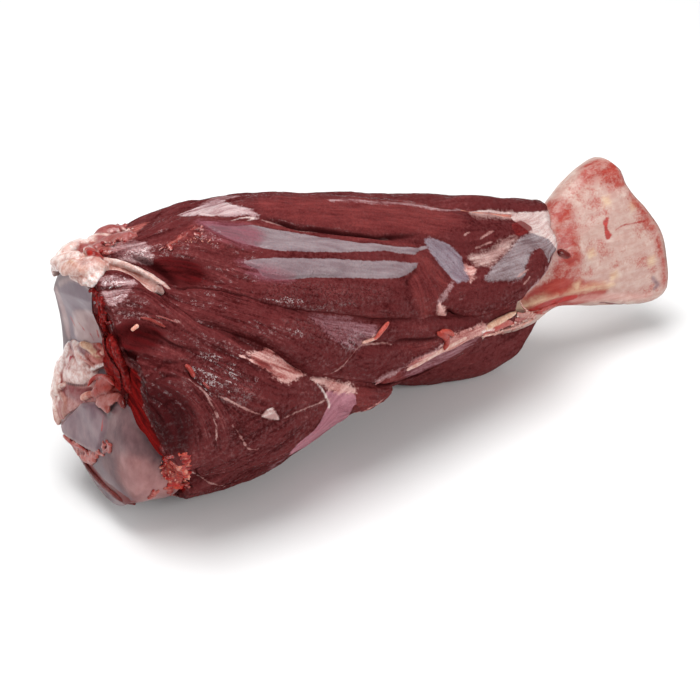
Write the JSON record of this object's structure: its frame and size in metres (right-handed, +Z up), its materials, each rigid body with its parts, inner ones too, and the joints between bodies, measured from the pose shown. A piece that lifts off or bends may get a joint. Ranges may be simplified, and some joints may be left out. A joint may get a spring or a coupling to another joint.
{
  "type": "raw beef shin",
  "caption": "Raw beef shin on the bone lying on its side: long muscles in pale membrane, a notched elbow end with fat and tendon, and a bare flared wrist end.",
  "frame": {"origin": "under the middle of the piece's length and width, at the surface it lies on", "axes": "+X from the elbow end to the wrist end, -Y the side shown in the picture, +Z up"},
  "size_m": [0.408, 0.1682, 0.1727],
  "materials": {
    "muscle": "raw red muscle, moist and semi-gloss",
    "fat_and_tendon": "pale fat and tendon, moist",
    "bone": "pink-white bone and cartilage, wet"
  },
  "bodies": {
    "root": {"bone": "bone", "extensor_muscles": "muscle", "side_muscles": "muscle", "elbow_lobe": "muscle", "hanging_muscle": "muscle", "flexor_muscles": "muscle", "elbow_tendon": "fat_and_tendon"}
  },
  "joints": []
}
